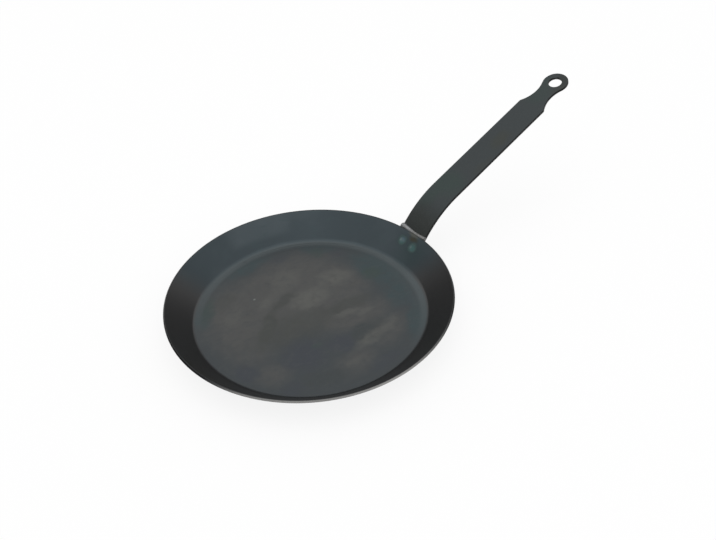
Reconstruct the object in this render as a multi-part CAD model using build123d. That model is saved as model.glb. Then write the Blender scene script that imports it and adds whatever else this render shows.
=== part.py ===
from build123d import *
import os
from math import asin, cos, degrees, radians, sin, sqrt

# Crepe pan pressed from carbon steel sheet, with a strip steel handle welded to its wall.
# Millimetres and degrees. The origin is the centre of the flat base, +Z is up, and the
# handle leaves along +X.

# Pressed dish, measured to its sharp corners before the cut edges are broken
rim_diameter = 240.0
pan_height = 23.0
sheet_thickness = 2.0
wall_angle = 43.2
floor_bend_radius = 8.0
rim_edge_break = 0.35

# Strip handle, measured along its upper face
strip_width = 28.4
strip_thickness = 2.5
strip_edge_break = 0.4
tab_length = 21.0
tab_corner_radius = 8.0
tab_seat_gap = 0.1
kink_radius = 12.0
rise_angle = 49.8
sweep_radius = 89.0
reach_angle = 19.0
straight_length = 155.0

# Shoulders, neck and eye at the handle's free end
eye_radius = 12.2
hang_hole_radius = 6.2
hang_hole_edge_break = 0.3
neck_width = 17.4
neck_radius = 30.0
shoulder_radius = 3.0

# Spot welds through the wall and into the tab. The two are a little uneven, as hand-held
# electrodes leave them: their places across the strip and how far each lies below the rim.
weld_diameter = 7.5
weld_ys = [-9.2, 4.6]
weld_drops = [11.5, 10.3]
weld_depth_in_tab = 1.4
electrode_mark_depth = 0.15

# Weld bead between the rim and the handle
bead_radius = 1.9
bead_end_inset = 0.9
bead_root_gap = 0.15

# Cutting shapes run past what they cut by this much
overrun = 5.0

# Worked out from the sizes above: the sheet's section
rim_radius = rim_diameter / 2
rise = sin(radians(wall_angle))
run = cos(radians(wall_angle))
outer_bend_radius = floor_bend_radius + sheet_thickness
rim_corner_z = pan_height - sheet_thickness * run
wall_length = (rim_corner_z - outer_bend_radius * (1 - run)) / rise
floor_radius = rim_radius - wall_length * run - outer_bend_radius * rise

# Worked out from the sizes above: the tab's upper face, which faces the wall. The origin is at
# the rim, local X runs up the wall and local Z points into the dish.
tab_plane = Plane(
    origin=(rim_radius + tab_seat_gap * rise, 0, rim_corner_z - tab_seat_gap * run),
    x_dir=(run, 0, rise),
    z_dir=(-rise, 0, run),
)

# Worked out from the sizes above: the welds
weld_radius = weld_diameter / 2
weld_places = list(zip([-drop for drop in weld_drops], weld_ys))
electrode_radius = (weld_radius**2 + electrode_mark_depth**2) / (2 * electrode_mark_depth)


def sheet_section():
    """Section of the pressed sheet from the axis to the rim, drawn from its underside"""
    with BuildSketch() as section:
        with BuildLine():
            base = Line((0, 0), (floor_radius, 0))
            bend = JernArc(base @ 1, base % 1, outer_bend_radius, wall_angle)
            PolarLine(bend @ 1, wall_length, wall_angle)
            offset(amount=sheet_thickness, side=Side.LEFT)
        make_face()
    return section.sketch


def pressed_dish():
    """Dish as it leaves the press: one sheet of constant thickness, its cut rim lightly broken"""
    with BuildPart() as dish:
        with BuildSketch(Plane.YZ) as section:
            add(sheet_section())
            rim_corners = section.vertices().sort_by(Axis.Y)[-2:]
            chamfer(rim_corners, rim_edge_break)
        revolve(axis=Axis.Z)
    return dish.part


def draw_upper_line():
    """Upper face of the handle in side view: tab, kink at the rim, long bend and straight"""
    with BuildLine() as side_view:
        rim_end = Vector(tab_plane.origin.X, tab_plane.origin.Z)
        tab = Line(rim_end - tab_length * Vector(run, rise), rim_end)
        kink = JernArc(tab @ 1, tab % 1, kink_radius, rise_angle - wall_angle)
        bend = JernArc(kink @ 1, kink % 1, sweep_radius, reach_angle - rise_angle)
        PolarLine(bend @ 1, straight_length + eye_radius + overrun, reach_angle)
    return side_view.wire()


# The handle's upper face at the eye. The origin is the eye's centre and local X runs to the tip.
upper_line = draw_upper_line()
tip_direction = Plane.XZ.from_local_coords(upper_line % 1)
eye_plane = Plane(
    origin=Plane.XZ.from_local_coords(upper_line @ 1) - (eye_radius + overrun) * tip_direction,
    x_dir=tip_direction,
    z_dir=tip_direction.cross(Vector(0, 1, 0)),
)


def eye_outline():
    """Outline of the handle's free end in the eye's plane, from the shoulders round the eye"""
    neck_y = neck_width / 2 + neck_radius
    reach = eye_radius + neck_radius
    neck_x = -sqrt(reach**2 - neck_y**2)
    shoulder_x = neck_x - sqrt(neck_radius**2 - (neck_y - strip_width / 2) ** 2)
    touch = Vector(neck_x, neck_y) * (eye_radius / reach)
    with BuildSketch() as outline:
        with BuildLine():
            neck = RadiusArc((shoulder_x, strip_width / 2), touch, -neck_radius)
            ThreePointArc(touch, (eye_radius, 0), (touch.X, -touch.Y))
            mirror(neck, about=Plane.XZ)
            Line((shoulder_x, -strip_width / 2), (shoulder_x, strip_width / 2))
        make_face()
    return outline.sketch, shoulder_x


def strip_handle():
    """Strip cut to its blank's outline, bent to the wall and the reach, with broken edges"""
    outline, shoulder_x = eye_outline()
    tip_length = eye_radius + overrun
    with BuildPart() as strip:
        with BuildSketch(Plane.XZ):
            with BuildLine():
                add(upper_line)
                offset(amount=strip_thickness, side=Side.RIGHT)
            make_face()
        extrude(amount=strip_width / 2, both=True)
        with BuildSketch(eye_plane):
            with Locations(((shoulder_x + tip_length) / 2, 0)):
                Rectangle(tip_length - shoulder_x, strip_width + 2 * overrun)
            add(outline, mode=Mode.SUBTRACT)
        extrude(amount=strip_thickness + overrun, both=True, mode=Mode.SUBTRACT)

        through_tab = strip.edges().filter_by(Axis((0, 0, 0), tab_plane.z_dir))
        fillet(through_tab, tab_corner_radius)
        through_eye = strip.edges().filter_by(Axis((0, 0, 0), eye_plane.z_dir))
        fillet(through_eye.sort_by(Axis.X)[:2], shoulder_radius)

        through_tab = strip.edges().filter_by(Axis((0, 0, 0), tab_plane.z_dir))
        through_eye = strip.edges().filter_by(Axis((0, 0, 0), eye_plane.z_dir))
        bend_lines = strip.edges().filter_by(Axis.Y).group_by(Edge.length)[-1]
        chamfer(strip.edges() - through_tab - through_eye - bend_lines, strip_edge_break)

        with BuildSketch(eye_plane):
            Circle(hang_hole_radius)
        extrude(amount=strip_thickness + overrun, both=True, mode=Mode.SUBTRACT)
        hole_edges = strip.edges(Select.LAST).filter_by(GeomType.CIRCLE)
        chamfer(hole_edges, hang_hole_edge_break)
    return strip.part


def dish_space():
    """Space inside the dish, from its inner face to well above the rim"""
    with BuildPart() as space:
        with BuildSketch(Plane.YZ):
            Rectangle(rim_diameter, pan_height + overrun, align=(Align.MIN, Align.MIN))
            add(sheet_section(), mode=Mode.SUBTRACT)
        revolve(axis=Axis.Z)
    return space.part


def wall_lift(x, y):
    """Height of the dish's inner face over the tab at a weld: the wall curves away from it"""
    ring_radius = rim_radius + x * run - sheet_thickness * rise
    return tab_seat_gap + sheet_thickness + y**2 * rise / (2 * ring_radius)


def weld_cores():
    """Round cores of the spot welds, from inside the tab to well above the wall"""
    with BuildPart() as cores:
        with BuildSketch(tab_plane.offset(-weld_depth_in_tab)):
            with Locations(*weld_places):
                Circle(weld_radius)
        extrude(amount=weld_depth_in_tab + sheet_thickness + overrun)
    return cores.part


def electrode_marks(pressed_faces, side):
    """Balls that leave a shallow mark in each pressed face, over (1) or under (-1) the joint"""
    with BuildPart() as marks:
        for place, face in zip(weld_places, pressed_faces):
            centre = face + side * (electrode_radius - electrode_mark_depth)
            with Locations(tab_plane.offset(centre)):
                with Locations(place):
                    Sphere(electrode_radius)
    return marks.part


def spot_welds():
    """Spot welds: fused cores that fill the wall's thickness and reach into the tab"""
    with BuildPart() as welds:
        add(weld_cores())
        add(dish_space(), mode=Mode.SUBTRACT)
        add(electrode_marks([wall_lift(x, y) for x, y in weld_places], 1), mode=Mode.SUBTRACT)
    return welds.part


def rim_weld(dish, handle):
    """Bead of weld laid along the rim's cut edge against the handle's upper face"""
    end_y = strip_width / 2 - bead_end_inset
    half_arc = degrees(asin(end_y / rim_radius))
    end_x = sqrt(rim_radius**2 - end_y**2)
    root_z = rim_corner_z + bead_root_gap
    with BuildPart() as bead:
        with BuildSketch(Plane.XZ.rotated((0, 0, -half_arc))):
            with Locations((rim_radius, rim_corner_z)):
                Circle(bead_radius)
        revolve(axis=Axis.Z, revolution_arc=2 * half_arc)
        with Locations((end_x, -end_y, rim_corner_z), (end_x, end_y, rim_corner_z)):
            Sphere(bead_radius)
        with Locations((rim_radius, 0, root_z)):
            Box(
                strip_width,
                strip_width + 2 * overrun,
                bead_radius + overrun,
                align=(Align.CENTER, Align.CENTER, Align.MAX),
                mode=Mode.SUBTRACT,
            )
        add(dish, mode=Mode.SUBTRACT)
        add(handle, mode=Mode.SUBTRACT)
    return bead.part


def build():
    """Every piece of the pan by name"""
    dish = pressed_dish()
    handle = strip_handle()
    bead = rim_weld(dish, handle)
    outer_marks = electrode_marks([-strip_thickness] * len(weld_places), -1)
    return {
        "pan_body": dish - weld_cores(),
        "handle": handle - weld_cores() - outer_marks,
        "spot_welds": spot_welds(),
        "rim_weld": bead,
    }


os.makedirs("parts", exist_ok=True)
for name, piece in build().items():
    export_step(piece, f"parts/{name}.step")
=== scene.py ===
from math import atan2, cos, pi, radians, sin, sqrt

import bmesh
import bpy
from bpy.props import FloatProperty, FloatVectorProperty, IntProperty, PointerProperty
from mathutils import Matrix, Quaternion, Vector


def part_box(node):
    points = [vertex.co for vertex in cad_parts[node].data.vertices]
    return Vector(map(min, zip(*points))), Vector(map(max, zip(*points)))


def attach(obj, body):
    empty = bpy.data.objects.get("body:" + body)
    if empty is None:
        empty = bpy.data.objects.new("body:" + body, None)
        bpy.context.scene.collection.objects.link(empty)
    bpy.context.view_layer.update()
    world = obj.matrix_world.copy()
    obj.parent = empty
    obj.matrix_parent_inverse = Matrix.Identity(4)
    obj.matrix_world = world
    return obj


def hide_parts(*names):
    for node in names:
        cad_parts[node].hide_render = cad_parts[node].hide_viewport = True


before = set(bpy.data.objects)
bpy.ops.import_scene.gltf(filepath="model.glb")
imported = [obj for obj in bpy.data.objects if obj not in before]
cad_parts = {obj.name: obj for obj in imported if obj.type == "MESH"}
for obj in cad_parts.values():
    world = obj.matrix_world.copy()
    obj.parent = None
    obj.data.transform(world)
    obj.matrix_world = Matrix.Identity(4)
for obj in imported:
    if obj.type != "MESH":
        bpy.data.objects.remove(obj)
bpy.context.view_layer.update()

bl_info = {
    "name": "Crepe pan",
    "version": (1, 0, 0),
    "blender": (4, 5, 0),
    "location": "View3D > Sidebar > Crepe pan",
    "description": "Finishes the dish, the strip handle and the welds of a blued steel crepe pan",
    "category": "Object",
}

MM = 0.001
WHITE = (1, 1, 1, 1)

# Section of the dish: the slope of its wall, and the rim's lower corner, where the wall ends
WALL_ANGLE = radians(43.2)
RIM_RADIUS = 120 * MM
RIM_CORNER_HEIGHT = 21.54 * MM
SHEET_THICKNESS = 2 * MM

# Slopes of the handle: at its foot, half way through the small bend at the rim, and of its straight
FOOT_ANGLE = radians(46.5)
STRAIGHT_ANGLE = radians(19)
UP_HANDLE = Vector((cos(FOOT_ANGLE), 0, sin(FOOT_ANGLE)))

# Spot welds: radius, and for each its place across the strip and how far it lies below the rim
MARK_RADIUS = 3.75 * MM
MARK_PLACES = ((-9.2 * MM, 11.5 * MM), (4.6 * MM, 10.3 * MM))

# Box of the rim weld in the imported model
bead_low, bead_high = (Vector(corner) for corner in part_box("rim_weld"))

# How finely a noise breaks up, from smooth lumps to a fine scatter
SMOOTH = 2.0
SOFT = 3.0
BROKEN = 4.0
RAGGED = 5.0
SCATTERED = 6.0

# Mean colour of a noise
NOISE_MIDDLE = (0.5, 0.5, 0.5)

# Sockets of the Mix node that hold colours
UNDER_SOCKET = 6
OVER_SOCKET = 7
COLOUR_OUTPUT = 2


def metres(name, about, default):
    """A length that a user can change"""
    return FloatProperty(name=name, description=about, default=default, unit="LENGTH", precision=5)


def share(name, about, default):
    """A share between nothing and all of something"""
    return FloatProperty(
        name=name, description=about, default=default, min=0, max=1, subtype="FACTOR"
    )


def colour(name, about, default):
    """A colour in linear light"""
    return FloatVectorProperty(
        name=name, description=about, default=default, size=3, min=0, max=1, subtype="COLOR"
    )


def point(name, about, default):
    """A place in the scene"""
    return FloatVectorProperty(
        name=name, description=about, default=default, size=3, subtype="TRANSLATION"
    )


def angle(name, about, default):
    """An angle, given in degrees and kept in radians"""
    return FloatProperty(name=name, description=about, default=radians(default), subtype="ANGLE")


def strength(name, about, default):
    """A plain number from nothing up"""
    return FloatProperty(name=name, description=about, default=default, min=0)


class CrepePanDish(bpy.types.PropertyGroup):
    """Colours and surface of the pressed dish"""

    base: colour("Base", "Blued steel between the clouds of the floor", (0.054, 0.061, 0.065))
    warm: colour("Warm grey", "Wide warm clouds over the floor", (0.0760, 0.0772, 0.0762))
    olive: colour("Olive grey", "Greener band across the warm cloud", (0.0605, 0.0640, 0.0610))
    light: colour("Light", "Lightest patches of the warm cloud", (0.098, 0.0995, 0.094))
    slate: colour("Slate", "Dark patches of the floor", (0.051, 0.058, 0.060))
    violet: colour("Violet", "Blue-violet patches of the floor", (0.0520, 0.0575, 0.0665))
    teal: colour("Teal", "Teal near the edge of the floor and on the wall", (0.047, 0.065, 0.070))
    green: colour("Green", "Greener patches near the edge of the floor", (0.048, 0.065, 0.061))
    streak: colour("Streak", "Dark rolling streaks", (0.056, 0.058, 0.058))
    chip: colour("Chip", "Small spot where the bluing has chipped", (0.145, 0.16, 0.15))
    # Painted highlight: the lighter ring of the bend stands in for the lamp's reflection in it
    bend: colour("Bend", "Ring of the bend between floor and wall", (0.081, 0.096, 0.101))
    wall: colour("Wall", "Blued steel of the wall", (0.046, 0.059, 0.066))
    # Painted light high on the wall toward the back; the same colour gives the wall's own pale
    # spots all round
    wall_pale_and_painted_light: colour(
        "Light wall", "Paler stretch of the wall, a quarter turn from the handle",
        (0.064, 0.079, 0.087),
    )
    # Painted reflection: greyer, lighter wall toward the front, standing in for the grey room that
    # it reflects
    wall_painted_reflection: colour(
        "Neutral wall", "Greyer bluing of the wall away from the handle", (0.0705, 0.0705, 0.071)
    )
    # Bare steel of the cut edge, shown toward the front as a painted highlight
    bare_cut_edge_and_glint: colour("Cut edge", "Bare steel of the rim's cut edge", (0.33, 0.327, 0.32))
    # Painted shade: the cut edge where no highlight shows, and the dark line inside the rim
    cut_edge_painted_shade: colour(
        "Dull cut edge", "Oxide on the cut edge where nothing rubs it, and on the line inside it",
        (0.031, 0.0325, 0.033),
    )
    heat_teal: colour("Teal heat tint", "Dark oxide round the spot welds", (0.030, 0.048, 0.050))
    mark_ring: colour("Weld ring", "Teal that spreads from each spot weld", (0.054, 0.086, 0.083))
    heat_brown: colour(
        "Brown heat tint", "Oxide on the wall below the rim weld", (0.043, 0.041, 0.029)
    )
    heat_cream: colour("Cream heat tint", "Pale oxide beside the rim weld", (0.088, 0.088, 0.076))
    worn: colour("Worn base", "Steel rubbed paler where the base stands", (0.10, 0.105, 0.11))
    roughness: share("Roughness", "Middle roughness of the sheet", 0.30)
    metal: share("Metal", "How far the oxide lets the steel's own shine through", 0.8)
    cloud_size: metres("Cloud size", "Size of the clouds in the bluing", 26 * MM)
    streak_size: metres("Streak width", "Width of the rolling streaks in the sheet", 4.2 * MM)
    grain_size: metres("Grain size", "Size of the sheet's grain", 0.5 * MM)
    grain_depth: metres("Grain depth", "Depth of the sheet's grain", 0.01 * MM)
    bend_relief: metres(
        "Bend relief", "How far the pressed bend lies below a plain arc", 1.06 * MM
    )


class CrepePanHandle(bpy.types.PropertyGroup):
    """Colours and surface of the strip handle"""

    steel: colour("Strip", "Blued steel of the strip's face", (0.042, 0.049, 0.051))
    teal: colour("Teal", "Teal patches of the strip", (0.0385, 0.0530, 0.0500))
    olive: colour("Olive", "Green-brown patches of the strip", (0.045, 0.049, 0.044))
    # Partly heat oxide, partly painted shade: darkens the foot and lower bend by the rim weld, and
    # a patch at the tip
    foot: colour("Foot", "Dark olive oxide at the rim weld and at the tip", (0.0305, 0.034, 0.0325))
    # Painted shade: near black on the sheared sides, the tip and the hole's wall
    side: colour("Side", "Dark sheared sides and the wall of the hole", (0.012, 0.012, 0.012))
    worn: colour("Worn edge", "Steel rubbed paler along the broken edges", (0.075, 0.080, 0.080))
    roughness: share("Roughness", "Middle roughness of the strip", 0.32)
    metal: share("Metal", "How far the oxide lets the steel's own shine through", 0.8)
    cloud_size: metres("Cloud size", "Size of the clouds in the bluing", 16 * MM)
    roll_width: metres("Roll mark width", "Width of the rolling marks along the strip", 0.8 * MM)
    grain_size: metres("Grain size", "Size of the strip's grain", 0.6 * MM)
    grain_depth: metres("Grain depth", "Depth of the strip's grain", 0.012 * MM)


class CrepePanWelds(bpy.types.PropertyGroup):
    """Sizes and colours of the spot welds and of the weld bead at the rim"""

    mark_teal: colour("Spot weld teal", "Middle of each spot weld's mark", (0.082, 0.118, 0.126))
    mark_green: colour(
        "Spot weld green", "Lower side of each spot weld's mark", (0.045, 0.092, 0.090)
    )
    mark_blue: colour(
        "Spot weld blue", "Upper side of the spot weld that took more heat", (0.061, 0.099, 0.128)
    )
    mark_pale: colour(
        "Spot weld pale", "Pale outer side of each spot weld's mark", (0.122, 0.158, 0.163)
    )
    mark_edge: colour("Spot weld edge", "Ring left by the electrode's edge", (0.047, 0.075, 0.073))
    mark_metal: share("Mark metal", "How far a mark's oxide lets the metal's shine through", 0.8)
    bead_metal: colour("Bead", "Bare metal of the weld bead", (0.30, 0.305, 0.315))
    bead_valley: colour("Bead valleys", "Oxide between the bead's ripples", (0.15, 0.153, 0.153))
    bead_straw: colour("Bead tint", "Dull tint on the end of the bead", (0.150, 0.150, 0.138))
    bead_bare: share("Bead bareness", "How metallic the bead is", 0.9)
    roughness: share("Roughness", "Middle roughness of the weld metal", 0.38)
    bead_radius: metres("Bead radius", "Radius of the bead's back where it is thinnest", 2.0 * MM)
    bead_thin: metres("Thin place", "Where across the handle the bead is thinnest", -4 * MM)
    bead_spread: metres(
        "Bead spread", "Distance from the thin place to the full thickness", 15.5 * MM
    )
    bead_swell: metres(
        "Bead swell", "How much the bead's radius has grown at its full thickness", 1.0 * MM
    )
    bead_climb: metres(
        "Bead climb", "How far up the handle the bead lies at its full thickness", 1.35 * MM
    )
    ripple_pitch: metres(
        "Ripple pitch", "Distance from one ripple of the bead to the next", 1.25 * MM
    )
    ripple_depth: metres("Ripple depth", "Depth of the valleys between ripples", 0.22 * MM)
    ripple_steps: IntProperty(
        name="Ripple steps", description="Mesh rings for each ripple", default=8, min=4, max=24
    )


class CrepePanStudio(bpy.types.PropertyGroup):
    """Camera, floor, lamp and surroundings"""

    camera_place: point("Camera place", "Where the camera stands", (-0.32930, -0.45962, 0.50581))
    camera_aim: point(
        "Camera aim", "Point of the floor at the picture's centre", (0.06701, 0.01584, 0.0)
    )
    camera_lean: angle("Camera lean", "How far the camera leans to its right", 3.01)
    lens: FloatProperty(
        name="Lens", description="Focal length of the camera", default=45.25, unit="CAMERA"
    )
    floor_size: metres("Floor", "Side of the square floor", 12.0)
    floor_shade: colour(
        "Floor colour", "Colour of the floor under its plain white", (0.9, 0.9, 0.9)
    )
    floor_white: share(
        "Floor white", "How far the floor shows plain white over its shaded colour", 0.85
    )
    ambient: strength("Ambient", "Strength of the white surroundings", 1.0)
    room: share("Room", "How light the room is that steel reflects near the horizon", 0.08)
    dark_below: angle(
        "Dark below", "Height over the horizon below which steel reflects the dark room", 13.0
    )
    white_above: angle(
        "White above", "Height over the horizon above which steel reflects the white tent", 33.0
    )
    lamp_size: metres("Lamp size", "Side of the soft lamp overhead", 1.6)
    lamp_height: metres("Lamp height", "Height of the soft lamp over the floor", 1.6)
    lamp_power: FloatProperty(
        name="Lamp power", description="Power of the soft lamp overhead", default=2.8, unit="POWER"
    )


class Term:
    """A shader socket in a sum: each operator adds the Math node that it stands for"""

    def __init__(self, finish, socket):
        self.finish = finish
        self.socket = socket

    def math(self, operation, first, second):
        return self.finish.node("ShaderNodeMath", {"operation": operation}, {0: first, 1: second})

    def __add__(self, other):
        return self.math("ADD", self, other)

    def __radd__(self, other):
        return self.math("ADD", other, self)

    def __sub__(self, other):
        return self.math("SUBTRACT", self, other)

    def __rsub__(self, other):
        return self.math("SUBTRACT", other, self)

    def __mul__(self, other):
        return self.math("MULTIPLY", self, other)

    def __rmul__(self, other):
        return self.math("MULTIPLY", other, self)

    def __truediv__(self, other):
        return self.math("DIVIDE", self, other)

    def __abs__(self):
        return self.math("ABSOLUTE", self, 0)

    def at_most(self, limit):
        return self.math("MINIMUM", self, limit)


class Finish:
    """Node tree of one finish"""

    def __init__(self, tree):
        self.tree = tree
        tree.nodes.clear()

    def node(self, kind, settings=None, inputs=None, output=0):
        """Adds a node: its settings first, then the values or links of its sockets"""
        node = self.tree.nodes.new(kind)
        for name, value in (settings or {}).items():
            setattr(node, name, value)
        for name, value in (inputs or {}).items():
            if isinstance(value, Term):
                self.tree.links.new(value.socket, node.inputs[name])
            else:
                node.inputs[name].default_value = value
        return Term(self, node.outputs[output]) if node.outputs else None

    def vector_math(self, operation, *vectors, output="Vector"):
        """Works on vectors"""
        inputs = dict(enumerate(vectors))
        return self.node("ShaderNodeVectorMath", {"operation": operation}, inputs, output)

    def place(self):
        """Place on the object, in metres"""
        return self.node("ShaderNodeTexCoord", output="Object")

    def part(self, vector, axis):
        """One axis of a vector"""
        return self.node("ShaderNodeSeparateXYZ", inputs={0: vector}, output=axis)

    def flat(self, vector):
        """A vector without its height"""
        return self.vector_math("MULTIPLY", vector, (1, 1, 0))

    def length(self, vector):
        """Length of a vector"""
        return self.vector_math("LENGTH", vector, output="Value")

    def toward(self, place, side):
        """How far a place lies toward a side, seen from above"""
        x, y = side
        return x * self.part(place, "X") + y * self.part(place, "Y")

    def step(self, value, low, high):
        """Eases from 0 at low to 1 at high, or back where low is the greater"""
        rising = low < high
        inputs = {
            "Value": value, "From Min": min(low, high), "From Max": max(low, high),
            "To Min": 0 if rising else 1, "To Max": 1 if rising else 0,
        }
        return self.node("ShaderNodeMapRange", {"interpolation_type": "SMOOTHSTEP"}, inputs)

    def laid(self, place, middle, turn, size):
        """Place as a pattern sees it that is moved, turned and stretched"""
        inputs = {"Vector": place, "Location": middle, "Rotation": turn, "Scale": size}
        return self.node("ShaderNodeMapping", {"vector_type": "TEXTURE"}, inputs)

    def clouds(self, place, size, detail=SOFT, stretch=(1, 1, 1), turn=(0, 0, 0), shift=(0, 0, 0)):
        """Soft noise from 0 to 1, with clouds of about the given size"""
        inputs = {
            "Vector": self.laid(place, shift, turn, stretch), "Scale": 1 / size, "Detail": detail,
        }
        return self.node("ShaderNodeTexNoise", inputs=inputs)

    def wander(self, place, size, reach):
        """Place pushed about by noise, so that what is drawn on it gets a wavering outline"""
        inputs = {"Vector": place, "Scale": 1 / size}
        noise = self.node("ShaderNodeTexNoise", inputs=inputs, output="Color")
        centred = self.vector_math("SUBTRACT", noise, NOISE_MIDDLE)
        return self.vector_math("MULTIPLY_ADD", centred, (reach, reach, reach), place)

    def patch(self, place, middle, size, turn=0.0, core=0.2):
        """Soft oval patch that is 1 within its core and fades out at its size"""
        return self.step(self.length(self.laid(place, middle, (0, 0, turn), size)), 1, core)

    def blend(self, mask, under, over):
        """Colour that goes from under to over with the mask"""
        inputs = {0: mask, UNDER_SOCKET: under, OVER_SOCKET: over}
        return self.node("ShaderNodeMix", {"data_type": "RGBA"}, inputs, COLOUR_OUTPUT)

    def bump(self, height, depth):
        """Normal of a surface with a relief of the given depth"""
        inputs = {"Height": height, "Distance": depth, "Strength": 1.0}
        return self.node("ShaderNodeBump", inputs=inputs)

    def steel(self, base, roughness, normal, metal, grazing=WHITE):
        """Ends the finish as metal"""
        inputs = {
            "Base Color": base, "Roughness": roughness, "Normal": normal, "Metallic": metal,
            "Specular Tint": grazing,
        }
        shader = self.node("ShaderNodeBsdfPrincipled", inputs=inputs)
        self.node("ShaderNodeOutputMaterial", inputs={"Surface": shader})


def paint(shade):
    """A property's colour as a colour socket takes it"""
    return (*shade, 1.0)


def new_material(name):
    """An empty material and its finish"""
    material = bpy.data.materials.new(name)
    material.use_nodes = True
    return material, Finish(material.node_tree)


def dress(node, material):
    """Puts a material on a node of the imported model"""
    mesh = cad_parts[node].data
    mesh.materials.clear()
    mesh.materials.append(material)


# A cloud of a sheet lies at every height, and is full over this share of its size
CLOUD_HEIGHT = 1.0
CLOUD_CORE = 0.3


def patches(finish, place, spots):
    """Sum of soft patches on a sheet, no matter how high it lies"""
    total = 0
    for x, y, half_length, half_width, turn, shows in spots:
        middle = (x * MM, y * MM, 0)
        size = (half_length * MM, half_width * MM, CLOUD_HEIGHT)
        total = total + shows * finish.patch(place, middle, size, radians(turn), CLOUD_CORE)
    return total.at_most(1.0)


def clouded(finish, place, clouds, mottle, colours, shade):
    """Lays a sheet's named clouds over a shade, each in its own colour"""
    for name, spots in clouds.items():
        mask = patches(finish, place, spots) * mottle
        shade = finish.blend(mask, shade, paint(getattr(colours, name)))
    return shade


# Clouds of the bluing on the dish's floor, in the order in which they lie over each other: centre x
# and y, half length and half width in millimetres, turn in degrees and how strongly each shows
FLOOR_CLOUDS = {
    "warm": (
        (-42, 42, 58, 44, 25, 1.0),
        (16, 46, 62, 42, 0, 1.0),
        (34, 10, 44, 40, 0, 1.0),
        (-64, 2, 30, 34, 0, 0.6),
        (0, 8, 60, 40, 0, 0.9),
        (26, -30, 46, 22, -10, 0.9),
        (-68, -36, 20, 18, 0, 0.7),
        (-10, -70, 28, 18, 0, 0.7),
        (34, -62, 30, 16, 20, 0.7),
    ),
    "olive": (
        (-22, -6, 52, 26, -10, 0.7),
        (-38, 10, 32, 8, 38, 0.9),
        (-8, 27, 20, 7, 8, 0.8),
        (30, -14, 30, 10, -10, 0.7),
        (-44, 62, 16, 10, 20, 0.4),
        (20, -50, 26, 12, 10, 0.5),
    ),
    "slate": (
        (17, -45, 15, 9, 0, 0.9),
        (-40, -66, 28, 12, -28, 0.8),
        (-20, -20, 22, 8, 0, 0.3),
    ),
    "violet": (
        (-37, -36, 24, 24, 0, 1.0),
        (-5, -46, 16, 14, 0, 0.9),
        (-82, -20, 12, 16, 0, 0.8),
        (70, -46, 13, 12, 0, 0.6),
        (-66, -58, 14, 11, 0, 0.6),
        (24, 75, 11, 9, 0, 0.5),
        (69, 47, 9, 12, 0, 0.5),
        (8, -86, 26, 9, 0, 0.5),
    ),
    "teal": (
        (80, 2, 24, 46, 0, 1.0),
        (68, -36, 20, 18, 0, 0.8),
        (60, -66, 34, 13, 45, 0.8),
        (-2, 86, 30, 11, 0, 0.8),
        (62, 64, 26, 13, -45, 0.8),
        (-70, 58, 22, 11, 52, 0.6),
    ),
    "green": (
        (71, 2, 12, 11, 0, 0.8),
        (-62, 62, 22, 8, 45, 0.6),
        (-22, -35, 7, 5, 0, 0.5),
        (55, 58, 8, 10, 0, 0.5),
    ),
    "light": (
        (44, 21, 22, 14, -25, 0.8),
        (12, 15, 27, 17, 0, 0.9),
        (12, 50, 20, 18, 0, 0.5),
        (22, -21, 17, 5, -14, 0.55),
        (34, -30, 14, 5, -14, 0.5),
        (14, -58, 22, 9, 8, 0.65),
        (38, -56, 18, 8, 25, 0.5),
        (-22, 36, 12, 8, 0, 0.4),
        (-10, 38, 24, 10, 20, 0.3),
        (-12, -70, 13, 7, 0, 0.3),
        (-52, 40, 20, 12, 30, 0.3),
    ),
}

# The clouds' outlines waver twice: how many waves go into a cloud's size, and their reach
FLOOR_WAVERS = ((2, 9 * MM), (5, 4 * MM))

# Clouds show this much everywhere and this much more in a fine mottle, of which this many spots go
# into a cloud's size
MOTTLE_LEAST = 0.25
MOTTLE_SWING = 1.5
MOTTLE_SPOTS = 4

# Rolling streaks: their turn and stretch, and where each kind starts, is full and how it shows
STREAK_TURN = (0, 0, radians(-8))
STREAK_STRETCH = (1.8, 1, 1)
DARK_STREAKS = (0.50, 0.74)
DARK_STREAKS_SHOW = 0.25
LIGHT_STREAKS = (0.50, 0.28)
LIGHT_STREAKS_SHOW = 0.1

# Middle and half size of the chip in the bluing
CHIP_PLACE = (-24.5 * MM, 46.5 * MM, 2 * MM)
CHIP_SIZE = (1.7 * MM, 1.3 * MM, 2 * MM)


def floor_colour(finish, dish, place):
    """Bluing of the floor: clouds of every shade on the base, with rolling streaks through them"""
    ragged = place
    for waves, reach in FLOOR_WAVERS:
        ragged = finish.wander(ragged, dish.cloud_size / waves, reach)
    fine = finish.clouds(place, dish.cloud_size / MOTTLE_SPOTS, SCATTERED)
    mottle = MOTTLE_LEAST + MOTTLE_SWING * fine
    shade = clouded(finish, ragged, FLOOR_CLOUDS, mottle, dish, paint(dish.base))
    drawn = finish.clouds(ragged, dish.streak_size, SOFT, STREAK_STRETCH, STREAK_TURN)
    dark = finish.step(drawn, *DARK_STREAKS) * DARK_STREAKS_SHOW
    light = finish.step(drawn, *LIGHT_STREAKS) * LIGHT_STREAKS_SHOW
    shade = finish.blend(dark, shade, paint(dish.streak))
    shade = finish.blend(light, shade, paint(dish.light))
    chip = finish.patch(place, CHIP_PLACE, CHIP_SIZE, core=CLOUD_CORE)
    return finish.blend(chip, shade, paint(dish.chip))


class DishSpot:
    """Where a point of the dish lies: its radius and height, and its way up and through the wall"""

    def __init__(self, finish):
        self.place = finish.place()
        self.radius = finish.length(finish.flat(self.place))
        self.height = finish.part(self.place, "Z")
        self.up_wall = self.radius * cos(WALL_ANGLE) + self.height * sin(WALL_ANGLE)
        self.through_wall = self.height * cos(WALL_ANGLE) - self.radius * sin(WALL_ANGLE)


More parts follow.
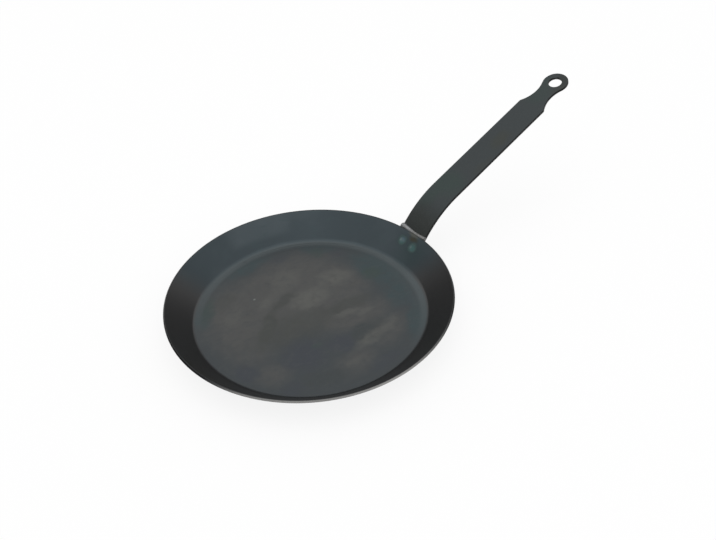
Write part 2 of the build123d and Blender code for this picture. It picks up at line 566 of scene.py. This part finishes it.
# Sides of the dish as directions seen from above. X runs to the handle and Y to the back.
FRONT_SIDE = (-0.375, -0.927)
BACK_SIDE = (0.77, 0.64)
LIT_SIDE = (0.24, 0.97)
REFLECTION_SIDE = (-0.62, -0.78)

# The bend's painted highlight ring and the wall's foot are drawn this much further in towards the
# back
BACK_SHIFT = 1.0 * MM
BACK_SHIFT_TURN = (0.0, 0.7)

# Painted highlight ring of the bend: radii where its faint edge and the ring itself start and are
# full, how each shows, and the turn over which the painted highlight comes up from the front to the
# back
HIGHLIGHT_EDGE = (80 * MM, 90 * MM)
HIGHLIGHT_EDGE_SHOWS = 0.15
HIGHLIGHT_RING = (89.8 * MM, 94.2 * MM)
HIGHLIGHT_SHOWS = 0.85
HIGHLIGHT_TURN = (-0.6, 0.7)

# Radii between which the ring gives way to the wall
WALL_FOOT = (96.2 * MM, 99.4 * MM)


def bend_and_wall(finish, dish, spot, shade):
    """Lays the painted highlight ring of the bend and then the wall over the floor's bluing"""
    back = finish.toward(spot.place, BACK_SIDE) / spot.radius
    radius = spot.radius + BACK_SHIFT * finish.step(back, *BACK_SHIFT_TURN)
    # Painted highlight: lighter ring on the bend, full toward the back and fading toward the front
    ring = HIGHLIGHT_EDGE_SHOWS * finish.step(radius, *HIGHLIGHT_EDGE)
    ring = ring + HIGHLIGHT_SHOWS * finish.step(radius, *HIGHLIGHT_RING)
    shade = finish.blend(ring * finish.step(back, *HIGHLIGHT_TURN), shade, paint(dish.bend))
    on_wall = finish.step(radius, *WALL_FOOT)
    return finish.blend(on_wall, shade, wall_colour(finish, dish, spot))


# Clouds of the wall: their size, how the press squashed them and where they are taken from
WALL_CLOUD_SIZE = 34 * MM
WALL_CLOUD_STRETCH = (1, 1, 0.7)
WALL_CLOUD_SHIFT = (0, 0, 20 * MM)

# Painted light: a paler stretch high on the wall toward the back: the heights and the turn between
# which it starts and is full, how it shows without and with the clouds, and the wall's own pale
# spots outside it
LIT_HEIGHT = (7.5 * MM, 13 * MM)
LIT_TURN = (0.95, 0.99)
LIT_LEAST = 0.75
LIT_SWING = 0.4
LIT_CLOUDS = (0.40, 0.62)
PALE_SPOTS = (0.5, 0.7)
PALE_SPOTS_SHOW = 0.25

# Teal streaks drawn out round the wall
WALL_STREAK_SIZE = 14 * MM
WALL_STREAK_STRETCH = (1, 1, 0.28)
WALL_STREAKS = (0.55, 0.75)
WALL_STREAKS_SHOW = 0.5

# Painted reflection: greyer, lighter wall toward the front, for the grey room that it reflects: how
# far toward its side it starts and is full, and the waves of its outline
REFLECTION_REACH = (-53 * MM, -20 * MM)
REFLECTION_WAVER = (40 * MM, 16 * MM)


def round_wall(finish, spot):
    """Place that runs round the dish and up its wall, so that noise on it has no seam"""
    way = finish.vector_math("NORMALIZE", finish.flat(spot.place))
    ring = finish.vector_math("MULTIPLY", way, (RIM_RADIUS, RIM_RADIUS, RIM_RADIUS))
    inputs = {0: finish.part(ring, "X"), 1: finish.part(ring, "Y"), 2: spot.up_wall}
    return finish.node("ShaderNodeCombineXYZ", inputs=inputs)


def wall_colour(finish, dish, spot):
    """Bluing of the wall, drawn out round the dish by the press, with painted light toward the back
    and a painted reflection toward the front
    """
    wall = round_wall(finish, spot)
    broad = finish.clouds(
        wall, WALL_CLOUD_SIZE, SMOOTH, WALL_CLOUD_STRETCH, shift=WALL_CLOUD_SHIFT
    )
    # Painted light: paler high up toward the back, and pale spots of the wall's own tone all round
    lit_side = finish.toward(spot.place, LIT_SIDE) / spot.radius
    stretch = finish.step(spot.height, *LIT_HEIGHT) * finish.step(lit_side, *LIT_TURN)
    pale = (LIT_LEAST + LIT_SWING * finish.step(broad, *LIT_CLOUDS)) * stretch
    pale = pale + PALE_SPOTS_SHOW * finish.step(broad, *PALE_SPOTS)
    shade = finish.blend(pale, paint(dish.wall), paint(dish.wall_pale_and_painted_light))
    drawn = finish.clouds(wall, WALL_STREAK_SIZE, BROKEN, WALL_STREAK_STRETCH)
    streaks = finish.step(drawn, *WALL_STREAKS) * WALL_STREAKS_SHOW
    shade = finish.blend(streaks, shade, paint(dish.teal))
    # Painted reflection: the wall turns greyer and lighter toward the front
    drift = finish.wander(spot.place, *REFLECTION_WAVER)
    grey = finish.step(finish.toward(drift, REFLECTION_SIDE), *REFLECTION_REACH)
    return finish.blend(grey, shade, paint(dish.wall_painted_reflection))


# Waves in the outlines of the heat tints: their size and reach
TINT_WAVER = (5 * MM, 2.5 * MM)

# Heat tints beside the marks, under the bead, beside it and round each mark: colour, way to its
# middle and half size in millimetres, core and how strongly it shows
DUSK = ("heat_teal", (-13, -10, -8), (24, 22, 24), 0.2, 0.5)
UNDER_BEAD = ("heat_brown", (-4.2, -5.5, -2.6), (4, 8, 4), 0.2, 1.0)
BESIDE_BEAD = ("heat_cream", (-2, -3.5, 0), (2.6, 9, 2.6), 0.3, 0.8)
MARK_HALO = ("heat_teal", (0, 0, 0), (9, 9, 9), 0.2, 0.5)
MARK_RING = ("mark_ring", (0, 0, 0), (5.6, 5.6, 5.6), 0.55, 0.8)


def mark_centre(y, drop):
    """Middle of a spot weld's mark on the inside of the wall"""
    x = RIM_RADIUS - drop * cos(WALL_ANGLE) - SHEET_THICKNESS * sin(WALL_ANGLE)
    z = RIM_CORNER_HEIGHT - drop * sin(WALL_ANGLE) + SHEET_THICKNESS * cos(WALL_ANGLE)
    return Vector((sqrt(x * x - y * y), y, z))


def heat_spots():
    """Each heat tint with the point that it is measured from, in the order in which they lie"""
    corner = Vector((RIM_RADIUS, 0, bead_low.z))
    spots = [(corner, *DUSK)]
    for mark in MARK_PLACES:
        spots += [(mark_centre(*mark), *MARK_HALO), (mark_centre(*mark), *MARK_RING)]
    return spots + [(corner, *UNDER_BEAD), (corner, *BESIDE_BEAD)]


def heat_tints(finish, dish, spot, shade):
    """Oxide colours round the spot welds and below the rim weld"""
    ragged = finish.wander(spot.place, *TINT_WAVER)
    for start, name, way, size, core, shows in heat_spots():
        middle = start + Vector(way) * MM
        tint = finish.patch(ragged, middle, Vector(size) * MM, core=core) * shows
        shade = finish.blend(tint, shade, paint(getattr(dish, name)))
    return shade


# Rubbed base: heights that stand on the table, radii of the ring that rubs most, size and limits
# of the clouds in it, and how the rest and the ring show
STANDS_HEIGHT = (1.2 * MM, 0.2 * MM)
RUBBED_RING = (84 * MM, 92 * MM)
RUBBED_CLOUD_SIZE = 9 * MM
RUBBED_CLOUDS = (0.35, 0.6)
RUBBED_LEAST = 0.15
RUBBED_SWING = 0.5


def worn_base(finish, dish, spot, shade):
    """Rubs the base where it stands, most of all along the ring where the wall leaves it"""
    stands = finish.step(spot.height, *STANDS_HEIGHT)
    clouds = finish.step(finish.clouds(spot.place, RUBBED_CLOUD_SIZE), *RUBBED_CLOUDS)
    rubbed = finish.step(spot.radius, *RUBBED_RING) * clouds
    worn = stands * (RUBBED_LEAST + RUBBED_SWING * rubbed)
    return finish.blend(worn, shade, paint(dish.worn))


# Lower corner of the rim, measured up the wall and through it
CORNER_UP = RIM_RADIUS * cos(WALL_ANGLE) + RIM_CORNER_HEIGHT * sin(WALL_ANGLE)
CORNER_THROUGH = RIM_CORNER_HEIGHT * cos(WALL_ANGLE) - RIM_RADIUS * sin(WALL_ANGLE)

# The cut edge takes in the rim's lower broken corner, and leans to leave the upper one out
CUT_LEAN = 0.14
CUT_UP = (CORNER_UP - 0.34 * MM, CORNER_UP - 0.24 * MM)

# Painted shade: dark line inside the rim, on the wall's upper face: where it lies and how it shows
SHADE_LINE_UP = (CORNER_UP - 1.0 * MM, CORNER_UP - 0.3 * MM)
SHADE_LINE_THROUGH = (CORNER_THROUGH + 1.2 * MM, CORNER_THROUGH + 1.6 * MM)
SHADE_LINE_SHOWS = 0.7

# The cut edge is bare steel, painted bright as a highlight toward the front, by its nicks, and more
# so on the handle's half; elsewhere it is painted dark as shade
NICK_SIZE = 1.5 * MM
GLINT_TURN = (0.5, 0.8)
BARE_LEAST = 0.45
BARE_NICKS = 0.5
BARE_BY_HANDLE = 0.3
BY_HANDLE_TURN = (-0.6, 0.0)


def rim_edge(finish, dish, spot, shade):
    """Lays the sheet's cut edge over a colour, with a painted highlight and painted shade, and
    tells where that edge is
    """
    lean = CUT_LEAN * (spot.through_wall - CORNER_THROUGH)
    cut = finish.step(spot.up_wall - lean, *CUT_UP)
    # Painted shade: a dark line inside the rim
    line = finish.step(spot.up_wall, *SHADE_LINE_UP) * finish.step(spot.through_wall, *SHADE_LINE_THROUGH)
    shade = finish.blend(line * SHADE_LINE_SHOWS, shade, paint(dish.cut_edge_painted_shade))
    nicks = finish.clouds(spot.place, NICK_SIZE)
    # Painted highlight on the bare cut edge toward the front, painted shade elsewhere
    front = finish.toward(spot.place, FRONT_SIDE) / spot.radius
    by_handle = finish.step(finish.part(spot.place, "X") / spot.radius, *BY_HANDLE_TURN)
    bareness = BARE_LEAST + BARE_NICKS * nicks + BARE_BY_HANDLE * by_handle
    bare = finish.step(front, *GLINT_TURN) * bareness
    edge = finish.blend(bare, paint(dish.cut_edge_painted_shade), paint(dish.bare_cut_edge_and_glint))
    return finish.blend(cut, shade, edge), cut


# How far the sheet's grain and its fine rolled lines make it duller, how many of these lines go
# into a streak's width, and how far they are drawn out
DISH_GRAIN_DULLS = 0.06
DISH_ROLL_DULLS = 0.02
DISH_ROLL_LINES = 3
DISH_ROLL_STRETCH = (2, 1, 1)

# Radii over which the relief of the bend falls by its depth
RELIEF_RING = (92.8 * MM, 99.4 * MM)

# Tint of the sheet's gloss at a grazing angle
GRAZING_TINT = (0.75, 0.75, 0.75, 1)


def dish_finish(dish):
    """Blued sheet of the dish: floor, bend with a painted highlight, wall with painted light and
    reflection, heat tints, worn base and cut rim with painted highlight and shade
    """
    material, finish = new_material("blued_dish")
    spot = DishSpot(finish)
    shade = floor_colour(finish, dish, spot.place)
    shade = bend_and_wall(finish, dish, spot, shade)
    shade = heat_tints(finish, dish, spot, shade)
    shade = worn_base(finish, dish, spot, shade)
    shade, cut = rim_edge(finish, dish, spot, shade)

    grain = finish.clouds(spot.place, dish.grain_size, SMOOTH)
    rolled = finish.clouds(
        spot.place, dish.streak_size / DISH_ROLL_LINES, SMOOTH, DISH_ROLL_STRETCH
    )
    least = dish.roughness - (DISH_GRAIN_DULLS + DISH_ROLL_DULLS) / 2
    roughness = least + DISH_GRAIN_DULLS * grain + DISH_ROLL_DULLS * rolled
    metal = dish.metal + (1 - dish.metal) * cut

    # The press leaves the bend lower and tighter than a plain arc
    relief = dish.grain_depth * grain - dish.bend_relief * finish.step(spot.radius, *RELIEF_RING)
    finish.steel(shade, roughness, finish.bump(relief, 1.0), metal, GRAZING_TINT)
    return material


# Clouds of the bluing along the handle, laid out as those of the floor
STRIP_CLOUDS = {
    "teal": (
        (167, 2, 20, 22, 0, 0.9),
        (288, 4, 16, 14, 0, 0.7),
        (304, 6, 10, 10, 0, 0.6),
        (146, 8, 14, 12, 0, 0.7),
    ),
    "olive": (
        (228, -3, 16, 10, 0, 0.8),
        (300, -9, 14, 9, 0, 0.7),
        (196, -10, 14, 6, 0, 0.4),
    ),
    # Foot: heat oxide by the rim weld with painted shade over the lower bend, and a patch at the
    # tip
    "foot": (
        (118, 0, 33, 60, 0, 1.0),
        (314, -5, 14, 12, 0, 0.7),
    ),
}

# Reach of the waves in the clouds' outlines, and how the clouds show without their mottle
STRIP_WAVER = 9 * MM
STRIP_MOTTLE_LEAST = 0.5

# Rolling marks: how far they are drawn out, which way, where they start, are full and how they show
ROLL_STRETCH = (22, 1, 1)
ROLL_TURN = (0, STRAIGHT_ANGLE, 0)
ROLL_MARKS = (0.5, 0.75)
ROLL_MARKS_SHOW = 0.25

# How far a face is turned sideways, or at the tip endways, to be a broken edge or a sheared side
SHEARED = (0.45, 0.65)
BROKEN_FROM = (0.25, 0.40)
BROKEN_TO = (0.45, 0.60)
TIP = (0.80, 0.90)

# Wear of the broken edges: size, start, full and how it shows
WEAR_SIZE = 5 * MM
WEAR = (0.45, 0.65)
WEAR_SHOWS = 0.5

# The strip's smoothest places are this much below its middle roughness, and its grain, clouds and
# sheared sides add this much
STRIP_SHINE = 0.06
STRIP_GRAIN_DULLS = 0.06
STRIP_CLOUD_DULLS = 0.05
SHEARED_DULLS = 0.12

# Shares of the grain and the rolling marks in the strip's relief
GRAIN_RELIEF = 0.6
ROLL_RELIEF = 0.4


def strip_edges(finish, handle, place, shade):
    """Paints shade onto the sheared sides, tip and hole by darkening them, and rubs the broken
    edges paler
    """
    # Sheared sides face along Y, and the tip and the hole's wall along X as well
    normal = finish.node("ShaderNodeTexCoord", output="Normal")
    sideways = abs(finish.part(normal, "Y"))
    endways = abs(finish.part(normal, "X"))
    sheared = finish.step(sideways, *SHEARED)
    broken = finish.step(sideways, *BROKEN_FROM) - finish.step(sideways, *BROKEN_TO)
    # Painted shade: sides and tip darkened by which way they face
    shade = finish.blend(sheared, shade, paint(handle.side))
    shade = finish.blend(finish.step(endways, *TIP), shade, paint(handle.side))
    wear = finish.step(finish.clouds(place, WEAR_SIZE, BROKEN), *WEAR)
    return finish.blend(broken * wear * WEAR_SHOWS, shade, paint(handle.worn)), sheared


def handle_finish(handle):
    """Blued strip of the handle: clouded faces with a foot darkened partly by painted shade,
    sheared sides painted dark as shade, and worn edges
    """
    material, finish = new_material("blued_strip")
    place = finish.place()
    wavering = finish.wander(place, handle.cloud_size, STRIP_WAVER)
    cloud = finish.clouds(place, handle.cloud_size / 2, RAGGED)
    mottle = STRIP_MOTTLE_LEAST + cloud
    shade = clouded(finish, wavering, STRIP_CLOUDS, mottle, handle, paint(handle.steel))
    rolled = finish.clouds(place, handle.roll_width, SMOOTH, ROLL_STRETCH, ROLL_TURN)
    marks = finish.step(rolled, *ROLL_MARKS) * ROLL_MARKS_SHOW
    shade = finish.blend(marks, shade, paint(handle.worn))
    shade, sheared = strip_edges(finish, handle, place, shade)

    grain = finish.clouds(place, handle.grain_size, SMOOTH)
    roughness = handle.roughness - STRIP_SHINE + STRIP_GRAIN_DULLS * grain
    roughness = roughness + STRIP_CLOUD_DULLS * cloud + SHEARED_DULLS * sheared
    relief = GRAIN_RELIEF * grain + ROLL_RELIEF * rolled
    finish.steel(shade, roughness, finish.bump(relief, handle.grain_depth), handle.metal)
    return material


# Waves in the outlines of the marks' colours: their size and reach
MARK_WAVER = (2 * MM, 0.8 * MM)

# Green of the marks: how its line slopes across the strip, and the heights where it starts and is
# full
GREEN_SLOPE = 0.16
GREEN_HEIGHT = (17.0 * MM, 14.5 * MM)

# Blue of the mark with more heat: the slope of its line, its heights and its places across
BLUE_SLOPE = -0.25
BLUE_HEIGHT = (14.6 * MM, 16.6 * MM)
BLUE_ACROSS = (-2 * MM, 2 * MM)
BLUE_SHOWS = 0.8

# Pale outer side of each mark: its middle from the mark's own, its radius and how it shows
MARK_PALE_MIDDLE = Vector((0, 2.6 * MM, 0))
MARK_PALE_RADIUS = 2.4 * MM
MARK_PALE_SHOWS = 0.6

# Share of a mark that the electrode's ring leaves free, and the size of the mark with its ring
MARK_CORE = 0.4
MARK_REACH = MARK_RADIUS * 1.1

# Grain of the marks: size, depth, and how far it takes them below and above the middle roughness
MARK_GRAIN_SIZE = 0.4 * MM
MARK_GRAIN_DEPTH = 0.01 * MM
MARK_SHINE = 0.1
MARK_GRAIN_DULLS = 0.08


def mark_finish(welds):
    """Teal of the spot welds: green below, blue where hotter, a pale side and a darker ring"""
    material, finish = new_material("spot_weld_tint")
    place = finish.place()
    ragged = finish.wander(place, *MARK_WAVER)
    height = finish.part(ragged, "Z")
    side = finish.part(place, "Y")
    greener = finish.step(height + GREEN_SLOPE * side, *GREEN_HEIGHT)
    shade = finish.blend(greener, paint(welds.mark_teal), paint(welds.mark_green))
    bluer = finish.step(height + BLUE_SLOPE * side, *BLUE_HEIGHT) * finish.step(side, *BLUE_ACROSS)
    shade = finish.blend(bluer * BLUE_SHOWS, shade, paint(welds.mark_blue))
    near = 0
    for mark in MARK_PLACES:
        middle = mark_centre(*mark)
        near = near + finish.patch(ragged, middle, (MARK_REACH,) * 3, core=MARK_CORE)
        pale = finish.patch(ragged, middle + MARK_PALE_MIDDLE, (MARK_PALE_RADIUS,) * 3)
        shade = finish.blend(pale * MARK_PALE_SHOWS, shade, paint(welds.mark_pale))
    shade = finish.blend(1 - near, shade, paint(welds.mark_edge))
    grain = finish.clouds(place, MARK_GRAIN_SIZE, SMOOTH)
    roughness = welds.roughness - MARK_SHINE + MARK_GRAIN_DULLS * grain
    finish.steel(shade, roughness, finish.bump(grain, MARK_GRAIN_DEPTH), welds.mark_metal)
    return material


# How full a ripple is where its bare metal starts and is all bare
BARE_RIPPLE = (0.0, 0.7)

# Tint of the bead: size and limits of its spots, the places across where its dull end starts and
# is full, and how both show
BEAD_TINT_SIZE = 4 * MM
BEAD_TINT = (0.45, 0.62)
BEAD_TINT_SHOWS = 0.35
DULL_END = (8 * MM, -2 * MM)
DULL_END_SHOWS = 0.55

# Grain of the bead: size, depth and how far it makes the metal duller
BEAD_GRAIN_SIZE = 0.35 * MM
BEAD_GRAIN_DEPTH = 0.03 * MM
BEAD_GRAIN_DULLS = 0.15


def bead_finish(welds):
    """Bare metal of the weld bead, with oxide in its valleys and a dull tint in places"""
    material, finish = new_material("bare_weld")
    place = finish.place()
    raised = finish.node("ShaderNodeAttribute", {"attribute_name": "ripple"}, output="Fac")
    bare = finish.step(raised, *BARE_RIPPLE)
    shade = finish.blend(bare, paint(welds.bead_valley), paint(welds.bead_metal))
    tint = finish.step(finish.clouds(place, BEAD_TINT_SIZE), *BEAD_TINT)
    dull = finish.step(finish.part(place, "Y"), *DULL_END)
    tinted = BEAD_TINT_SHOWS * tint + DULL_END_SHOWS * dull
    shade = finish.blend(tinted, shade, paint(welds.bead_straw))
    grain = finish.clouds(place, BEAD_GRAIN_SIZE)
    roughness = welds.roughness + BEAD_GRAIN_DULLS * grain
    finish.steel(shade, roughness, finish.bump(grain, BEAD_GRAIN_DEPTH), welds.bead_bare)
    return material


# Corners of the bead's round section
BEAD_CORNERS = 28

# How sharply the bead swells and its ripples crest, how far a ripple bows and sways as a share of
# the bead's radius and depth, and the length of that sway along the bead
SWELL_POWER = 1.5
CREST_POWER = 0.6
RIPPLE_BOW = 0.55
RIPPLE_SWAY = 0.35
SWAY_LENGTH = 3.1 * MM

# Points closer than this are made one, and points this near the cutting plane lie in it
SAME_POINT = 0.005 * MM
IN_PLANE = 0.001 * MM


def bead_centre(turn):
    """Point on the bead's centre line, at an angle round the dish"""
    return Vector((RIM_RADIUS * cos(turn), RIM_RADIUS * sin(turn), RIM_CORNER_HEIGHT))


def spin_bead(bm, welds, half_turn):
    """Spins a round section along the rim, from one end of the bead to the other"""
    steps = int(2 * half_turn * RIM_RADIUS / welds.ripple_pitch * welds.ripple_steps)
    bmesh.ops.create_circle(bm, segments=BEAD_CORNERS, radius=welds.bead_radius)
    stand = Matrix.Translation(bead_centre(0)) @ Matrix.Rotation(radians(90), 4, "X")
    start = Matrix.Rotation(-half_turn, 4, "Z") @ stand
    bmesh.ops.transform(bm, matrix=start, verts=bm.verts[:])
    bmesh.ops.spin(
        bm, geom=bm.verts[:] + bm.edges[:], cent=(0, 0, 0), axis=(0, 0, 1), angle=2 * half_turn,
        steps=steps,
    )


def fullness(welds, along, out):
    """How full the bead is at a point, from 0 in a valley to 1 on the back of a ripple"""
    # Each ripple bows along the bead, so its middle runs ahead of its sides
    bow = out.normalized().z * welds.bead_radius * RIPPLE_BOW
    phase = (along + bow) / welds.ripple_pitch
    return abs(sin(pi * phase)) ** CREST_POWER


def shaped(welds, turn, out, full, half_turn):
    """Place of a point of the bead: thicker and higher up the handle towards both ends, rounded
    off at them, and rippled"""
    along = turn * RIM_RADIUS
    lump = min(1.0, abs(along - welds.bead_thin) / welds.bead_spread) ** SWELL_POWER
    thick = 1 + lump * welds.bead_swell / welds.bead_radius
    climb = Matrix.Rotation(turn, 3, "Z") @ UP_HANDLE * (lump * welds.bead_climb)
    round_end = welds.bead_radius / RIM_RADIUS
    past = max(0.0, abs(turn) - half_turn + round_end) / round_end
    taper = sqrt(max(0.0, 1 - past * past))
    sway = RIPPLE_SWAY * sin(along / SWAY_LENGTH)
    dip = welds.ripple_depth * (1 - full + (sway + RIPPLE_SWAY) / 2)
    return bead_centre(turn) + climb + out * taper * thick * (1 - dip / welds.bead_radius)


def rippled_bead(welds):
    """Mesh of the weld bead: a round section spun along the rim, tapered, rippled and cut flat"""
    bm = bmesh.new()
    half_turn = atan2(bead_high.y, RIM_RADIUS)
    spin_bead(bm, welds, half_turn)

    ripple = bm.verts.layers.float.new("ripple")
    for vert in bm.verts:
        turn = atan2(vert.co.y, vert.co.x)
        out = vert.co - bead_centre(turn)
        full = fullness(welds, turn * RIM_RADIUS, out)
        vert[ripple] = full
        vert.co = shaped(welds, turn, out, full, half_turn)

    bmesh.ops.remove_doubles(bm, verts=bm.verts[:], dist=SAME_POINT)
    everything = bm.verts[:] + bm.edges[:] + bm.faces[:]
    bmesh.ops.bisect_plane(
        bm, geom=everything, dist=IN_PLANE, plane_co=(0, 0, bead_low.z), plane_no=(0, 0, 1),
        clear_inner=True,
    )
    bmesh.ops.holes_fill(bm, edges=[edge for edge in bm.edges if edge.is_boundary])
    bmesh.ops.recalc_face_normals(bm, faces=bm.faces[:])
    return bm


def new_piece(name, bm):
    """A smooth-shaded object from a finished bmesh"""
    mesh = bpy.data.meshes.new(name)
    bm.to_mesh(mesh)
    bm.free()
    mesh.shade_smooth()
    piece = bpy.data.objects.new(name, mesh)
    bpy.context.scene.collection.objects.link(piece)
    return piece


class CREPE_PAN_OT_dish(bpy.types.Operator):
    """Finishes the pressed dish in clouded blued steel with a bare cut rim, with painted highlight,
    light, reflection and shade in its colours
    """

    bl_idname = "crepe_pan.dish"
    bl_label = "Finish the dish"

    def execute(self, context):
        dress("pan_body", dish_finish(context.scene.crepe_pan_dish))
        return {"FINISHED"}


class CREPE_PAN_OT_handle(bpy.types.Operator):
    """Finishes the strip handle in blued steel, with painted shade on its sheared sides and foot"""

    bl_idname = "crepe_pan.handle"
    bl_label = "Finish the handle"

    def execute(self, context):
        dress("handle", handle_finish(context.scene.crepe_pan_handle))
        return {"FINISHED"}


class CREPE_PAN_OT_marks(bpy.types.Operator):
    """Finishes the spot welds in their teal heat tint"""

    bl_idname = "crepe_pan.marks"
    bl_label = "Finish the spot welds"

    def execute(self, context):
        dress("spot_welds", mark_finish(context.scene.crepe_pan_welds))
        return {"FINISHED"}


class CREPE_PAN_OT_bead(bpy.types.Operator):
    """Makes the rippled weld bead between the rim and the handle"""

    bl_idname = "crepe_pan.bead"
    bl_label = "Make the rim weld"

    def execute(self, context):
        welds = context.scene.crepe_pan_welds
        bead = new_piece("rippled_bead", rippled_bead(welds))
        bead.data.materials.append(bead_finish(welds))
        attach(bead, "root")
        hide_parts("rim_weld")
        return {"FINISHED"}


def set_camera(studio):
    """Camera at the photograph's viewing angle"""
    lens = bpy.data.cameras.new("camera")
    lens.lens = studio.lens
    camera = bpy.data.objects.new("camera", lens)
    bpy.context.scene.collection.objects.link(camera)
    place = Vector(studio.camera_place)
    sight = (Vector(studio.camera_aim) - place).to_track_quat("-Z", "Y")
    camera.location = place
    camera.rotation_mode = "QUATERNION"
    camera.rotation_quaternion = sight @ Quaternion((0, 0, 1), -studio.camera_lean)
    bpy.context.scene.camera = camera


def seen_rays(finish):
    """1 for what the camera sees, straight on or by a reflection or through glass"""
    rays = ("Is Camera Ray", "Is Glossy Ray", "Is Transmission Ray")
    return sum(finish.node("ShaderNodeLightPath", output=ray) for ray in rays)


def set_floor(studio):
    """Plain pale floor that shows near white and keeps the pan's shadow"""
    bm = bmesh.new()
    bmesh.ops.create_grid(bm, x_segments=1, y_segments=1, size=studio.floor_size / 2)
    floor = new_piece("floor", bm)
    material, finish = new_material("pale_floor")
    shaded = finish.node("ShaderNodeBsdfDiffuse", inputs={"Color": paint(studio.floor_shade)})
    glow = finish.node("ShaderNodeEmission", inputs={"Color": WHITE, "Strength": 1.0})
    inputs = {0: seen_rays(finish) * studio.floor_white, 1: shaded, 2: glow}
    shader = finish.node("ShaderNodeMixShader", inputs=inputs)
    finish.node("ShaderNodeOutputMaterial", inputs={"Surface": shader})
    floor.data.materials.append(material)


def set_surroundings(studio):
    """White tent over a dark room: steel reflects the room near the horizon"""
    world = bpy.data.worlds.new("surroundings")
    bpy.context.scene.world = world
    world.use_nodes = True
    finish = Finish(world.node_tree)
    direction = finish.node("ShaderNodeTexCoord", output="Generated")
    rise = finish.part(direction, "Z")
    tent = finish.step(rise, sin(studio.dark_below), sin(studio.white_above))
    mirrored = finish.node("ShaderNodeLightPath", output="Is Glossy Ray")
    level = studio.ambient * (1 - (1 - studio.room) * mirrored * (1 - tent))
    sky = finish.node("ShaderNodeBackground", inputs={"Color": WHITE, "Strength": level})
    finish.node("ShaderNodeOutputWorld", inputs={"Surface": sky})


def set_lamp(studio):
    """One wide soft lamp overhead"""
    light = bpy.data.lights.new("soft_lamp", "AREA")
    light.energy = studio.lamp_power
    light.size = studio.lamp_size
    lamp = bpy.data.objects.new("soft_lamp", light)
    lamp.location = (0, 0, studio.lamp_height)
    bpy.context.scene.collection.objects.link(lamp)


class CREPE_PAN_OT_stage(bpy.types.Operator):
    """Sets the camera, the pale floor, the lamp and the surroundings"""

    bl_idname = "crepe_pan.stage"
    bl_label = "Set the stage"

    def execute(self, context):
        studio = context.scene.crepe_pan_studio
        set_camera(studio)
        set_floor(studio)
        set_surroundings(studio)
        set_lamp(studio)
        context.scene.view_settings.view_transform = "Standard"
        return {"FINISHED"}


OPERATORS = (
    CREPE_PAN_OT_stage,
    CREPE_PAN_OT_dish,
    CREPE_PAN_OT_handle,
    CREPE_PAN_OT_marks,
    CREPE_PAN_OT_bead,
)

GROUPS = {
    "crepe_pan_dish": CrepePanDish,
    "crepe_pan_handle": CrepePanHandle,
    "crepe_pan_welds": CrepePanWelds,
    "crepe_pan_studio": CrepePanStudio,
}


class CREPE_PAN_PT_panel(bpy.types.Panel):
    """Lists the operators and the sizes and colours that they use"""

    bl_idname = "CREPE_PAN_PT_panel"
    bl_label = "Crepe pan"
    bl_space_type = "VIEW_3D"
    bl_region_type = "UI"
    bl_category = "Crepe pan"

    def draw(self, context):
        for operator in OPERATORS:
            self.layout.operator(operator.bl_idname)
        for name, group in GROUPS.items():
            box = self.layout.box()
            for field in group.__annotations__:
                box.prop(getattr(context.scene, name), field)


def register():
    """Registers the groups, the operators and the panel"""
    for group in GROUPS.values():
        bpy.utils.register_class(group)
    for name, group in GROUPS.items():
        setattr(bpy.types.Scene, name, PointerProperty(type=group))
    for operator in OPERATORS:
        bpy.utils.register_class(operator)
    bpy.utils.register_class(CREPE_PAN_PT_panel)


def unregister():
    """Takes them out again, last first"""
    bpy.utils.unregister_class(CREPE_PAN_PT_panel)
    for operator in reversed(OPERATORS):
        bpy.utils.unregister_class(operator)
    for name in GROUPS:
        delattr(bpy.types.Scene, name)
    for group in reversed(GROUPS.values()):
        bpy.utils.unregister_class(group)


def main():
    """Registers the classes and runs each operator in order"""
    register()
    bpy.ops.crepe_pan.stage()
    bpy.ops.crepe_pan.dish()
    bpy.ops.crepe_pan.handle()
    bpy.ops.crepe_pan.marks()
    bpy.ops.crepe_pan.bead()


if __name__ == "__main__":
    main()
